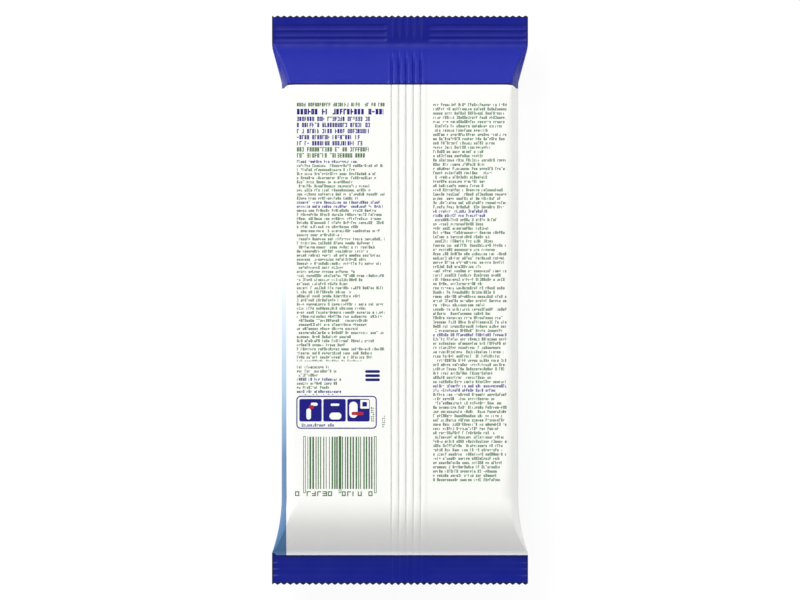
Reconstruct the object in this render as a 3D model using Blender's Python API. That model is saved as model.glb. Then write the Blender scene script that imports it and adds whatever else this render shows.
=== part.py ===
"""Wet wipes pack: a sealed flow-wrapped film pack that lies on its front, with its back face up.

Units are metres and +Z is up. The pack's length runs along Y and its width along X, and the origin
is the middle of the underside. The film and the wipes inside it are one closed solid. The reseal
label is a separate piece, stuck to the front of the pack, on which the pack lies.
"""

import math

import bmesh
import bpy

# Film pack.
PACK_LENGTH = 0.2478
BODY_WIDTH = 0.1028
BODY_THICKNESS = 0.034
CORNER_RADIUS = 0.0036
CORNER_TURN = math.radians(60)
FLANK_BULGE = 0.0027

# End seals. The outer edge of each is cut in teeth, and ridges are crimped across it.
SEAL_WIDTH = 0.1113
SEAL_THICKNESS = 0.0012
TOP_SEAL_LENGTH = 0.0117
BOTTOM_SEAL_LENGTH = 0.013
TOOTH_PITCH = 0.00278
TOOTH_DEPTH = 0.0009
CRIMP_FIRST = 0.0014
CRIMP_PITCH = 0.00275
CRIMP_WIDTH = 0.001
CRIMP_THICKNESS = 0.00064

# Slopes from the flat body down to the end seals, with the gusset tucked in between front and back.
# A roundness of 0 is a straight slope and 1 a quarter sine wave. The creases at the sides of a slope
# spread outwards with the given power of the way along it. A ridge stands at its share of the way
# from the crease to mid-thickness.
TOP_SLOPE_LENGTH = 0.0183
BOTTOM_SLOPE_LENGTH = 0.0209
TOP_ROUNDNESS = 0.5
BOTTOM_ROUNDNESS = 1.0
TOP_CREASE_POWER = 1.5
BOTTOM_CREASE_POWER = 2.0
GUSSET_DEPTH = 0.0095
BODY_RIDGE = 0.85
SEAL_RIDGE = 0.3

# Fin seal, which runs down the back and is folded flat to one side of the middle.
FIN_OFFSET = 0.0025
FIN_HEIGHT = 0.0005
FIN_FOLD_MARGIN = 0.0019
FIN_FREE_MARGIN = 0.0029
FIN_EDGE = 0.0004
FIN_GROOVES = 5
FIN_GROOVE_PITCH = 0.003165
FIN_GROOVE_WIDTH = 0.0009
FIN_GROOVE_DEPTH = 0.0004
FIN_RIB_CROWN = 0.00015

# Reseal label on the front. Its lower end is half an ellipse, to be pulled up by.
LABEL_WIDTH = 0.062
LABEL_LENGTH = 0.112
LABEL_CORNER_RADIUS = 0.014
LABEL_PULL_REACH = 0.016
LABEL_THICKNESS = 0.0004
LABEL_GAP = 0.0003

# How finely the curved stretches are divided.
SLOPE_STEPS = 9
CORNER_STEPS = 3
FLANK_STEPS = 4
ARC_STEPS = 10

# Cutters run this far past the solid that they cut.
CUT_MARGIN = 0.002

# Colours as sRGB hex.
FILM_WHITE = "FDFDFC"
PRINT_BLUE = "2F36A4"
PRINT_SKY = "A9C4E6"
LABEL_WHITE = "F1F4F8"


def linear(channel):
    """One sRGB channel, 0 to 1, as linear light."""
    return channel / 12.92 if channel <= 0.04045 else ((channel + 0.055) / 1.055) ** 2.4


def plain_material(name, colour, roughness):
    """A Principled BSDF material from an sRGB hex colour."""
    material = bpy.data.materials.new(name)
    material.use_nodes = True
    shader = material.node_tree.nodes["Principled BSDF"]
    rgb = [linear(int(colour[i : i + 2], 16) / 255) for i in (0, 2, 4)]
    shader.inputs["Base Color"].default_value = (*rgb, 1.0)
    shader.inputs["Roughness"].default_value = roughness
    shader.inputs["Metallic"].default_value = 0.0
    material.diffuse_color = (*rgb, 1.0)
    return material


class End:
    """One end of the pack. Distances are measured from the middle of the pack along the end's own side."""

    def __init__(self, side, seal_length, slope_length, roundness, crease_power):
        self.side = side
        self.edge = PACK_LENGTH / 2
        self.seal_line = self.edge - seal_length
        self.shoulder = self.seal_line - slope_length
        self.slope_length = slope_length
        self.roundness = roundness
        self.crease_power = crease_power

    def crimps(self):
        """Centre distances of the crimped grooves, from the outer edge inwards."""
        room = self.edge - self.seal_line - CRIMP_FIRST - CRIMP_WIDTH
        count = int(room / CRIMP_PITCH) + 1
        return [self.edge - CRIMP_FIRST - i * CRIMP_PITCH for i in range(count)]

    def stations(self):
        """Each section's distance and thickness share, from the shoulder to past the toothed edge."""
        slope = [self.shoulder + self.slope_length * i / SLOPE_STEPS for i in range(SLOPE_STEPS + 1)]
        stations = [(distance, 1.0) for distance in slope]
        stations.append((self.seal_line + CRIMP_WIDTH / 2, 1.0))
        for centre in reversed(self.crimps()):
            stations.append((centre - CRIMP_WIDTH / 2, 1.0))
            stations.append((centre, CRIMP_THICKNESS / SEAL_THICKNESS))
            stations.append((centre + CRIMP_WIDTH / 2, 1.0))
        stations.append((self.edge + CUT_MARGIN / 2, 1.0))
        return stations

    def slope_fraction(self, distance):
        """0 at the shoulder and 1 at the seal line."""
        return min(1.0, max(0.0, (distance - self.shoulder) / self.slope_length))


# Height of the pack's mid-thickness, where its end seals lie.
MIDDLE_Z = LABEL_THICKNESS + LABEL_GAP + BODY_THICKNESS / 2

TOP_END = End(1, TOP_SEAL_LENGTH, TOP_SLOPE_LENGTH, TOP_ROUNDNESS, TOP_CREASE_POWER)
BOTTOM_END = End(-1, BOTTOM_SEAL_LENGTH, BOTTOM_SLOPE_LENGTH, BOTTOM_ROUNDNESS, BOTTOM_CREASE_POWER)


def side_profile(end, distance):
    """Right upper quarter of the section, from the edge of the back panel out to mid-thickness.

    The panel turns down round the corner to a crease, the flank bulges out from the crease to a
    ridge, and from the ridge it is tucked inwards to the fold line of the gusset.
    """
    t = end.slope_fraction(distance)
    body_half = BODY_THICKNESS / 2
    seal_half = SEAL_THICKNESS / 2
    rise = (1 - end.roundness) * (1 - t) + end.roundness * math.sin(math.pi / 2 * (1 - t))
    half_height = seal_half + (body_half - seal_half) * rise
    radius = CORNER_RADIUS * half_height / body_half

    flank_x = BODY_WIDTH / 2 + (SEAL_WIDTH - BODY_WIDTH) / 2 * t
    body_crease_x = BODY_WIDTH / 2 - FLANK_BULGE
    crease_x = body_crease_x + (SEAL_WIDTH / 2 - body_crease_x) * t**end.crease_power
    crease_z = half_height - radius * (1 - math.cos(CORNER_TURN))
    ridge = BODY_RIDGE + (SEAL_RIDGE - BODY_RIDGE) * t
    tuck = GUSSET_DEPTH * t if distance <= end.seal_line else 0.0

    profile = []
    for i in range(CORNER_STEPS + 1):
        turn = CORNER_TURN * i / CORNER_STEPS
        x = crease_x - radius * (math.sin(CORNER_TURN) - math.sin(turn))
        profile.append((x, half_height - radius * (1 - math.cos(turn))))
    for i in range(1, FLANK_STEPS + 1):
        share = i / FLANK_STEPS
        x = crease_x + (flank_x - crease_x) * math.sin(math.pi / 2 * share)
        profile.append((x, crease_z * (1 - ridge * share)))
    profile.append((flank_x - tuck, 0.0))
    return profile


def fin_profile():
    """The fin seal's section as (x, height above the back panel), from left to right."""
    first = FIN_OFFSET - FIN_GROOVE_PITCH * (FIN_GROOVES - 1) / 2
    last = first + FIN_GROOVE_PITCH * (FIN_GROOVES - 1)
    left = first - FIN_FOLD_MARGIN
    right = last + FIN_FREE_MARGIN
    points = [(left, 0.0), (left + FIN_EDGE, FIN_HEIGHT)]
    for i in range(FIN_GROOVES):
        centre = first + i * FIN_GROOVE_PITCH
        if i:
            points.append((centre - FIN_GROOVE_PITCH / 2, FIN_HEIGHT + FIN_RIB_CROWN))
        points.append((centre - FIN_GROOVE_WIDTH / 2, FIN_HEIGHT))
        points.append((centre, FIN_HEIGHT - FIN_GROOVE_DEPTH))
        points.append((centre + FIN_GROOVE_WIDTH / 2, FIN_HEIGHT))
    return points + [(right - FIN_EDGE, FIN_HEIGHT), (right, 0.0)]


def section(end, distance, thickness_share):
    """The whole closed section at a distance from the middle, as (x, z) with z from mid-thickness.

    The thickness share is under 1 in a crimped groove, which stops at the fin seal on the back.
    """
    side = side_profile(end, distance)
    panel_z = side[0][1]
    fin = [(x, panel_z + height) for x, height in fin_profile()]
    for edge in (0, -1):
        fin[edge] = (fin[edge][0], panel_z * thickness_share)
    upper = [(x, z * thickness_share) for x, z in side]
    lower = [(x, -z) for x, z in upper]
    right = upper + lower[-2::-1]
    left = [(-x, z) for x, z in reversed(right)]
    return fin + right + left


def film_pack(materials):
    """The film pack as one loft of sections from the bottom edge to the top edge."""
    stations = [(BOTTOM_END, *station) for station in reversed(BOTTOM_END.stations())]
    stations += [(TOP_END, *station) for station in TOP_END.stations()]

    bm = bmesh.new()
    rings = []
    for end, distance, thickness_share in stations:
        y = end.side * distance
        points = section(end, distance, thickness_share)
        rings.append([bm.verts.new((x, y, MIDDLE_Z + z)) for x, z in points])
    for near, far in zip(rings, rings[1:]):
        for i in range(len(near)):
            j = (i + 1) % len(near)
            bm.faces.new((near[i], near[j], far[j], far[i]))
    bm.faces.new(rings[0])
    bm.faces.new(rings[-1])
    bmesh.ops.recalc_face_normals(bm, faces=bm.faces)
    paint_fields(bm)

    mesh = bpy.data.meshes.new("wipes_pack")
    bm.to_mesh(mesh)
    bm.free()
    for material in materials:
        mesh.materials.append(material)
    return bpy.data.objects.new("wipes_pack", mesh)


def paint_fields(bm):
    """Slot 0 is the bare white back, slot 1 the blue ends and slot 2 the sky-blue front."""
    for face in bm.faces:
        centre = face.calc_center_median()
        if centre.y > TOP_END.shoulder or centre.y < -BOTTOM_END.seal_line:
            face.material_index = 1
        elif centre.z < MIDDLE_Z:
            face.material_index = 2


def flat_outline(name, points, thickness, collection):
    """A flat plate with a closed outline, as a mesh centred on z = 0."""
    curve = bpy.data.curves.new(name, "CURVE")
    curve.dimensions = "2D"
    curve.fill_mode = "BOTH"
    curve.extrude = thickness / 2
    spline = curve.splines.new("POLY")
    spline.points.add(len(points) - 1)
    for point, (x, y) in zip(spline.points, points):
        point.co = (x, y, 0.0, 1.0)
    spline.use_cyclic_u = True
    outline = bpy.data.objects.new(name + "_outline", curve)
    collection.objects.link(outline)

    depsgraph = bpy.context.evaluated_depsgraph_get()
    mesh = bpy.data.meshes.new_from_object(outline.evaluated_get(depsgraph))
    bpy.data.objects.remove(outline)
    bpy.data.curves.remove(curve)
    bm = bmesh.new()
    bm.from_mesh(mesh)
    bmesh.ops.remove_doubles(bm, verts=bm.verts, dist=1e-6)
    bmesh.ops.recalc_face_normals(bm, faces=bm.faces)
    bm.to_mesh(mesh)
    bm.free()
    mesh.name = name
    plate = bpy.data.objects.new(name, mesh)
    collection.objects.link(plate)
    return plate


def cut_teeth(pack, end, cutters):
    """Cuts the outer edge of one end seal in a row of pointed teeth."""
    count = round(SEAL_WIDTH / TOOTH_PITCH)
    pitch = SEAL_WIDTH / count
    outer = end.side * (end.edge + CUT_MARGIN)
    tip = end.side * end.edge
    root = end.side * (end.edge - TOOTH_DEPTH)
    points = [(SEAL_WIDTH / 2 + CUT_MARGIN, outer), (-SEAL_WIDTH / 2 - CUT_MARGIN, outer)]
    points.append((-SEAL_WIDTH / 2 - CUT_MARGIN, root))
    for i in range(count):
        left = -SEAL_WIDTH / 2 + i * pitch
        points += [(left, root), (left + pitch / 2, tip)]
    points += [(SEAL_WIDTH / 2, root), (SEAL_WIDTH / 2 + CUT_MARGIN, root)]

    name = "top_tooth_cutter" if end.side > 0 else "bottom_tooth_cutter"
    cutter = flat_outline(name, points, BODY_THICKNESS, cutters)
    cutter.location.z = MIDDLE_Z
    cutter.hide_render = True
    cutter.display_type = "WIRE"
    modifier = pack.modifiers.new("teeth", "BOOLEAN")
    modifier.operation = "DIFFERENCE"
    modifier.solver = "EXACT"
    modifier.object = cutter


def arc(centre_x, centre_y, radius_x, radius_y, start, stop):
    """Points of an arc of a circle or an upright ellipse, with both of its ends."""
    turns = [start + (stop - start) * i / ARC_STEPS for i in range(ARC_STEPS + 1)]
    return [(centre_x + radius_x * math.cos(a), centre_y + radius_y * math.sin(a)) for a in turns]


def label_outline():
    """Two rounded corners at the upper end and half an ellipse at the lower end."""
    quarter = math.pi / 2
    radius = LABEL_CORNER_RADIUS
    corner_x = LABEL_WIDTH / 2 - radius
    corner_y = LABEL_LENGTH / 2 - radius
    pull_y = LABEL_PULL_REACH - LABEL_LENGTH / 2
    points = arc(corner_x, corner_y, radius, radius, 0, quarter)
    points += arc(-corner_x, corner_y, radius, radius, quarter, 2 * quarter)
    points += arc(0.0, pull_y, LABEL_WIDTH / 2, LABEL_PULL_REACH, 2 * quarter, 4 * quarter)
    return points


def reseal_label(material, collection):
    """The glued label, which lies under the pack with its outer face on z = 0."""
    label = flat_outline("reseal_label", label_outline(), LABEL_THICKNESS, collection)
    label.location.z = LABEL_THICKNESS / 2
    label.data.materials.append(material)
    return label


def main():
    for old in list(bpy.data.objects):
        bpy.data.objects.remove(old)
    pack_collection = bpy.data.collections.new("wet_wipes_pack")
    cutters = bpy.data.collections.new("cutters")
    bpy.context.scene.collection.children.link(pack_collection)
    bpy.context.scene.collection.children.link(cutters)

    film = (
        plain_material("film_white", FILM_WHITE, 0.35),
        plain_material("film_blue", PRINT_BLUE, 0.35),
        plain_material("film_sky", PRINT_SKY, 0.35),
    )
    pack = film_pack(film)
    pack_collection.objects.link(pack)
    for end in (TOP_END, BOTTOM_END):
        cut_teeth(pack, end, cutters)
    pack.data.shade_smooth()
    pack.data.set_sharp_from_angle(angle=math.radians(25))
    reseal_label(plain_material("label_white", LABEL_WHITE, 0.3), pack_collection)


main()
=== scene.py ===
"""Looks of the wet wipes pack: its printed film, its reseal label and a plain studio around them."""

import math
from functools import partial
from types import SimpleNamespace

import bpy
import numpy as np
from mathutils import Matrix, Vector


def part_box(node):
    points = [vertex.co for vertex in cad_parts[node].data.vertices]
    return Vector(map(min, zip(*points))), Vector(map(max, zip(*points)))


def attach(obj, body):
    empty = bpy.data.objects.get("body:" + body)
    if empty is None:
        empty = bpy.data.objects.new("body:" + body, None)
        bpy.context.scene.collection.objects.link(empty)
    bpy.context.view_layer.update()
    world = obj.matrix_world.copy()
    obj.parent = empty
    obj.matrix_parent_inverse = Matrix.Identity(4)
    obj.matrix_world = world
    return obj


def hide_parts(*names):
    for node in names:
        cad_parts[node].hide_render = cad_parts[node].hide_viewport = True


bl_info = {
    "name": "Wet Wipes Pack",
    "version": (1, 0, 0),
    "blender": (4, 5, 0),
    "location": "View3D > Sidebar > Wipes Pack",
    "description": "Builds the printed film, the reseal label and the studio of a wet wipes pack",
    "category": "Add Mesh",
}

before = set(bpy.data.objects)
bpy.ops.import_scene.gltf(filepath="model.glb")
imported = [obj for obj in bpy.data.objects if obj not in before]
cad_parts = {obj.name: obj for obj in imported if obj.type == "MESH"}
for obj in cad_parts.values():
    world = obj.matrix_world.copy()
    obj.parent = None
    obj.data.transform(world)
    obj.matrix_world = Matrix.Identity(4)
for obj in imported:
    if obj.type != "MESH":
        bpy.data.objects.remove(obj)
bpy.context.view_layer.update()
PACK_LOW, PACK_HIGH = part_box("wipes_pack")
LABEL_LOW, LABEL_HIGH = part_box("reseal_label")

# How far the fin seal stands out of the solid's back panel.
SOLID_FIN = 0.00065
BODY_THICKNESS = PACK_HIGH[2] - PACK_LOW[2] - SOLID_FIN
MIDDLE_Z = PACK_LOW[2] + BODY_THICKNESS / 2
MM = 0.001

# Spacing of the sections along the pack.
TOP_SEAL_STEP = 0.00025
BOTTOM_SEAL_STEP = 0.0003
SLOPE_STEP = 0.0008
BODY_STEP = 0.0062

# Ends of the pack. Drop and spread are shares of the slope over which they set in and fade out.
CORNER_TURN = math.radians(60)
TOP_DROP = (0.08, 0.27)
BOTTOM_DROP = (0.83, 0.02)
TOP_SPREAD = (0.04, 0.3)
BOTTOM_SPREAD_POWER = 2
TOP_CREASE_POWER = 1.5
BOTTOM_CREASE_POWER = 2.6
BOTTOM_ROUND_POWER = 1.7
TOP_TIGHTENING = 0.65
SHOULDER_SWELL = 0.75
SHOULDER_PLACE = 0.1
SHOULDER_REACH = 0.35
BODY_RIDGE = 0.85
SEAL_RIDGE = 0.3
PLEAT_HEIGHT = 0.0004

# Fin seal. Places on a slope are shares of it, and a groove's bell is a share of its width.
GROOVE_POINTS = MM * np.array([-0.75, -0.55, -0.4, -0.27, -0.13, 0.0, 0.13, 0.27, 0.4, 0.55, 0.75])
RIB_POINTS = np.array([0.33, 0.5, 0.67])
GROOVE_BELL = 0.33
FREE_EDGE_RAMP = 0.0012
BODY_CROWN = 0.00003
SLOPE_CROWN = 0.00042
TOP_FADE_START = 0.4
TOP_FADE_REACH = 0.43
TOP_SEAL_SHARE = 0.4
TOP_SEAL_RAMP = 0.005
BOTTOM_FADE = 0.8
BOTTOM_SEAL_CUT = 0.45

# Crimps and teeth. A crimp's drop and its last climb are in crimp pitches.
CRIMP_DROP = 0.13
CRIMP_LAST_CLIMB = 2.3
CRIMP_SIDE_MARGIN = 0.0006
CRIMP_SIDE_RAMP = 0.0008
LOW_CRIMP_LEFT = 0.0526
LOW_CRIMP_LEFT_RAMP = 0.002
LOW_CRIMP_RIGHT = 0.0508
LOW_CRIMP_RIGHT_RAMP = 0.0035
LOW_CRIMP_SHARE = 0.15
TOOTH_REACH = 0.0017
TOP_TIP_CUT = 0.2

# Softness of the film.
RIPPLE_HEIGHT = 0.00012
PUCKER_HEIGHT = 0.00006
SEAL_RAMP = 0.0005
FIN_SIDE_RAMP = 0.0008
PANEL_POWER = 8
BAKE_MARGIN = 0.005

# Printed fields, and the painted shade and highlight laid among them, in film coordinates: millimetres
# round from the back's middle and from mid-length.
FRONT_RAMP = (12.0, -68.0)
FRONT_LEFT_EDGE = (90.0, 96.0, 51.1, 49.4)
FRONT_RIGHT_EDGE = 66.0
# Painted highlight: where the pale lilac line along the lower seal's crease starts.
CREASE_HIGHLIGHT_START = 109.8
# Where the dark line along the band's lower edge starts.
BAND_DARK_LINE_START = 93.35
BAND_START = 93.95
BAND_DROOP = 1.5
DROOP_ZONE = (45.0, 55.0)
# Painted shade: where the band's blue darkens into the upper seal's deeper blue.
SEAL_SHADE_BLEND = (108.0, 113.6)
# Painted shade and highlight of the seals' knurl: where it starts, how strong it is, its slant and its
# pitch.
KNURL_START = 119.9
KNURL_SHADING_STRENGTH = 0.3
KNURL_LEAN = 1.6
KNURL_PITCH = 2.763
LIFT_ZONE = (-53.6, -55.0)
# Where the dark line at the start of the lower seal's blue begins.
LOW_DARK_LINE_START = 110.9
LOW_SEAL_BLEND = (111.4, 112.2)
# Painted shade along the cut edges, and along the seals' sides.
CUT_EDGE_SHADE_START = 122.6
SIDE_EDGE_SHADE_START = 55.0
SIDE_EDGE_SHADE_ENDS = 111.5
# Painted shade along the fin seal's grooves: its half width, and where it fades out down the lower
# slope.
GROOVE_SHADE_REACH = 0.3
GROOVE_SHADE_FADE = (-84.0, -99.0)
TEXT_LEFT = -44.7
CODE_MODULE = 0.33
CODE_GROUP = 7.0

# A mark of print, in shares of its row and of its cell, and the cells in a word and its gap.
TALL_TOP = 0.12
SHORT_TOP = 0.32
BASE_LINE = 0.84
MARK_WIDTH = 0.7
MARK_WIDTH_SPAN = 0.16
WORD_CELLS = 8.0

# A cell of the small text in millimetres, the row of the last heading after which its blue ends,
# and the places in the noise from which a mark's other draws and a row's end are taken.
TEXT_CELL = 0.84
BLUE_ROWS_END = 4.5
OTHER_NOISE = (31.0, 17.0, 5.0)
ROW_NOISE = 7.0

# White noise, and a Mix node's sockets for colours: its share, its two colours and its result.
NOISE = "ShaderNodeTexWhiteNoise"
MIX_SHARE, MIX_FIRST, MIX_SECOND, MIX_RESULT = 0, 6, 7, 2

# Roughness of the two films over the middle part of a noise's range, and the rings of the label's
# faces, as shares of the way in from its rim.
NOISE_RANGE = (0.3, 0.7)
FILM_SHEEN = (0.34, 0.44)
LABEL_SHEEN = (0.22, 0.3)
LABEL_RINGS = (0.96, 0.6, 0.3, 0.08)

# Stage. The even light fades to its strength overhead between two heights of its direction. The
# table glows for the camera alone, and lies just under the pack, so that no faces coincide.
ZENITH_ZONE = (0.7, 0.95)
TABLE_GLOW = 0.92
TABLE_HALF = 3.0
TABLE_DROP = 0.0002
PICTURE_SHAPE = 800 / 600


def linear(colour):
    """An sRGB hex colour as linear red, green, blue and a full alpha."""
    channels = [int(colour[i : i + 2], 16) / 255 for i in (0, 2, 4)]
    light = [c / 12.92 if c <= 0.04045 else ((c + 0.055) / 1.055) ** 2.4 for c in channels]
    return (*light, 1.0)


def size(name, description, default, unit="LENGTH"):
    """One size of the pack, in metres unless another unit is given."""
    return bpy.props.FloatProperty(
        name=name, description=description, default=default, unit=unit, precision=5, min=0.0
    )


def ink(name, description, colour):
    """One colour of the pack, given as sRGB hex and kept as linear light."""
    return bpy.props.FloatVectorProperty(
        name=name,
        description=description,
        default=linear(colour),
        subtype="COLOR",
        size=4,
        min=0.0,
        max=1.0,
    )


class FilmSizes(bpy.types.PropertyGroup):
    """Sizes of the film wrapper."""

    pack_length: size("Pack length", "Tooth tip to tooth tip", PACK_HIGH[1] - PACK_LOW[1])
    seal_width: size("Seal width", "Width across an end seal", PACK_HIGH[0] - PACK_LOW[0])
    body_thickness: size("Body thickness", "Back panel to front panel", BODY_THICKNESS)
    body_width: size("Body width", "Flank to flank", 0.1028)
    corner_radius: size("Corner radius", "Round between panel and flank", 0.0036)
    flank_bulge: size("Flank bulge", "How far a flank stands out past its creases", 0.0027)
    seal_thickness: size("Seal thickness", "The fused end seal", 0.0009)
    top_seal: size("Top seal", "Length of the upper end seal", 0.0112)
    bottom_seal: size("Bottom seal", "Length of the lower end seal", 0.0139)
    top_slope: size("Top slope", "Flat body to upper seal", 0.0188)
    bottom_slope: size("Bottom slope", "Flat body to lower seal", 0.0245)
    gusset_depth: size("Gusset depth", "How far the sides are tucked in at the seals", 0.0095)
    tooth_pitch: size("Tooth pitch", "Tip to tip along a cut edge", 0.002763)
    tooth_margin: size("Tooth margin", "Left side of an end seal to its first tip", 0.00247)
    tooth_depth: size("Tooth depth", "Root to tip", 0.0009)
    crimp_first: size("First crimp", "Cut edge to the first crimped groove", 0.00433)
    crimp_pitch: size("Crimp pitch", "Groove to groove across an end seal", 0.00273)
    crimp_depth: size("Crimp depth", "Depth of a crimped groove", 0.00034)
    fin_offset: size("Fin offset", "Middle of the pack to the middle fin groove", 0.0027)
    fin_fold_margin: size("Fin fold margin", "First groove to the fold", 0.0019)
    fin_free_margin: size("Fin free margin", "Last groove to the free edge", 0.0029)
    fin_height: size("Fin height", "Back panel to the top of the fin seal", 0.0003)
    fin_pitch: size("Fin pitch", "Groove to groove down the fin seal", 0.003165)
    fin_groove_width: size("Fin groove width", "Width of a groove down the fin seal", 0.0014)
    fin_groove_depth: size("Fin groove depth", "Depth of a groove down the fin seal", 0.0009)


class LabelSizes(bpy.types.PropertyGroup):
    """Sizes of the reseal label, past those of its solid."""

    corner_radius: size("Corner radius", "Round of the label's two upper corners", 0.014)
    pull_reach: size("Pull reach", "Length of the half ellipse to pull the label up by", 0.016)
    edge_radius: size("Edge radius", "Round of the label's cut edges", 0.00012)
    border: size("Border", "Width of the blue border", 0.0024)


class FilmColours(bpy.types.PropertyGroup):
    """Colours of the printed film and of the label, and of the painted shade and highlight on the film.
    """

    white: ink("Film white", "White ink under the back's print", "FBFBF7")
    # Grey for the painted shade in the fin seal's grooves.
    groove_shade: ink("Pressed white", "Greyer white along the fin seal's pressed grooves", "E6E6E4")
    band: ink("Band blue", "Blue of the upper end", "0A1A94")
    # Band blue darkened as painted shade over the upper end seal.
    seal: ink("Seal blue", "Deeper blue of the upper end seal", "0C1788")
    low_seal: ink("Lower seal blue", "Blue of the lower end seal", "0A1A86")
    # Dark navy: the dark lines along both band edges, and painted shade along the cut edges, the seals'
    # sides and the upper seal's knurl.
    dark_edge_shade: ink("Band edge", "Dark rule along the band's edge", "141650")
    # Pale lilac for the painted highlight along the crease where the lower seal starts.
    crease_highlight: ink("Pale line", "Lilac white line over the lower end seal", "F6F6FF")
    mist: ink("Front mist", "Front print just under its white upper end", "E5F0F4")
    haze: ink("Front haze", "Front print above mid-length", "C6D8EC")
    sky: ink("Front sky blue", "Front print below mid-length", "A0C0DD")
    deep_sky: ink("Front deep blue", "Front print at the lower end", "527EAE")
    heading: ink("Heading blue", "Blue heading marks", "1A1A80")
    text: ink("Text green", "Green text marks", "447444")
    green: ink("Code green", "Green bars and capitals", "3F6E3E")
    accent: ink("Accent red", "Small red shapes in the blue squares", "B5283A")
    label: ink("Label white", "Face of the reseal label", "EEF3F9")


class StageSettings(bpy.types.PropertyGroup):
    """Camera and light."""

    view_height: size("View height", "Height that the picture takes in at the pack", 0.2609)
    camera_height: size("Camera height", "Camera above the table", 6.0)
    key_strength: size("Key strength", "Radiant power of the key lamp", 249.0, unit="POWER")
    low_strength: size("Low strength", "Radiant power of the low lamp", 26.0, unit="POWER")
    side_strength: size("Side strength", "Radiant power of the lamp at the right", 20.0, unit="POWER")
    sky_strength: size("Sky strength", "Brightness of the even light all round", 0.75, unit="NONE")
    zenith_share: size("Zenith share", "Share of that brightness left overhead", 0.25, unit="NONE")


def smooth(value):
    """Smoothstep from 0 to 1."""
    value = np.clip(value, 0, 1)
    return value * value * (3 - 2 * value)


def end_drop(t, start, stop):
    """Fall from the panel's full height, 0 at t = 0, to the seal line, 1 at t = 1.

    The slope grows along a smoothstep over the first share of the way, stays, and fades along
    another over the last share. This is its integral, in which a smoothstep's is u^3 - u^4 / 2.
    """
    into = np.clip(t / start, 0, 1)
    out_of = np.clip((1 - t) / stop, 0, 1)
    even = np.clip(t, start, 1 - stop) - start
    fall = start * (into**3 - into**4 / 2) + even + stop * (0.5 - out_of**3 + out_of**4 / 2)
    return fall / (1 - start / 2 - stop / 2)


def end_form(y, sizes):
    """The section's ruling sizes at each place along the pack, from formulas like the solid's.

    t is 0 on the flat body and 1 at the seal line. The crease spreads outwards with a power of t, and
    so does the lower flank, while the upper one spreads evenly and eases into the seal. The ridge
    climbs towards the crease, and the tuck deepens in proportion to t. The corner's radius shrinks
    with the thickness, swells at the lower shoulder and is tight at the upper.
    """
    upper = y >= 0
    seal_line = sizes.pack_length / 2 - np.where(upper, sizes.top_seal, sizes.bottom_seal)
    slope = np.where(upper, sizes.top_slope, sizes.bottom_slope)
    past = (np.abs(y) - seal_line + slope) / slope
    t = np.clip(past, 0, 1)
    drop = np.where(upper, end_drop(t, *TOP_DROP), end_drop(t, *BOTTOM_DROP))
    seal_half = sizes.seal_thickness / 2
    body_half = sizes.body_thickness / 2

    form = SimpleNamespace(y=y, upper=upper, t=t, seal_line=seal_line)
    form.half = body_half + (seal_half - body_half) * drop
    swell = 1 + SHOULDER_SWELL * np.exp(-(((past - SHOULDER_PLACE) / SHOULDER_REACH) ** 2))
    tighten = 1 - TOP_TIGHTENING * smooth(past + 1)
    form.radius = sizes.corner_radius * form.half / body_half
    form.radius = form.radius * np.where(upper, tighten, swell * (1 - t) ** BOTTOM_ROUND_POWER)
    spread = np.where(upper, end_drop(t, *TOP_SPREAD), t**BOTTOM_SPREAD_POWER)
    crease_power = np.where(upper, TOP_CREASE_POWER, BOTTOM_CREASE_POWER)
    half_width = sizes.body_width / 2
    body_crease = half_width - sizes.flank_bulge
    form.flank_x = half_width + (sizes.seal_width / 2 - half_width) * spread
    form.crease_x = body_crease + (sizes.seal_width / 2 - body_crease) * t**crease_power
    form.ridge = BODY_RIDGE + (SEAL_RIDGE - BODY_RIDGE) * t
    form.tuck = sizes.gusset_depth * np.where(np.abs(y) <= seal_line, t, 0)
    return form


def section_places(sizes):
    """Places of the sections along Y: close in the end seals and slopes, and wide on the flat body."""
    half = sizes.pack_length / 2
    top_line = half - sizes.top_seal
    bottom_line = half - sizes.bottom_seal
    stretches = (
        (-half, -bottom_line, BOTTOM_SEAL_STEP),
        (-bottom_line, -bottom_line + sizes.bottom_slope, SLOPE_STEP),
        (-bottom_line + sizes.bottom_slope, top_line - sizes.top_slope, BODY_STEP),
        (top_line - sizes.top_slope, top_line, SLOPE_STEP),
        (top_line, half, TOP_SEAL_STEP),
    )
    runs = []
    for start, stop, step in stretches:
        count = math.ceil((stop - start) / step)
        runs.append(np.linspace(start, stop, count, endpoint=False))
    return np.concatenate(runs + [[half]])


def side_lines(form):
    """Right upper quarter of each section: (x, z) arrays from the panel's edge to mid-thickness.

    An arc of 60 degrees turns the panel down to the crease, a quarter sine bulges the flank out to
    the ridge, and a straight line leads in to the fold of the gusset. A slight pleat, two sine waves
    high, runs along the upper flank.
    """
    turn = CORNER_TURN
    arc = np.linspace(0, turn, 8)
    share = np.linspace(0, 1, 9)[1:]
    tuck = np.linspace(0, 1, 5)[1:]
    crease_z = form.half - form.radius * (1 - np.cos(turn))
    corner_x = form.crease_x - form.radius * (np.sin(turn) - np.sin(arc))
    corner_z = form.half - form.radius * (1 - np.cos(arc))
    flank_x = form.crease_x + (form.flank_x - form.crease_x) * np.sin(np.pi / 2 * share)
    pleat = PLEAT_HEIGHT * np.where(form.upper, form.t * (1 - form.t) * 4, 0)
    flank_z = crease_z * (1 - form.ridge * share) + pleat * np.sin(4 * np.pi * share)
    tuck_x = form.flank_x - form.tuck * tuck
    tuck_z = crease_z * (1 - form.ridge) * (1 - tuck)
    return np.hstack((corner_x, flank_x, tuck_x)), np.hstack((corner_z, flank_z, tuck_z))


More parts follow.
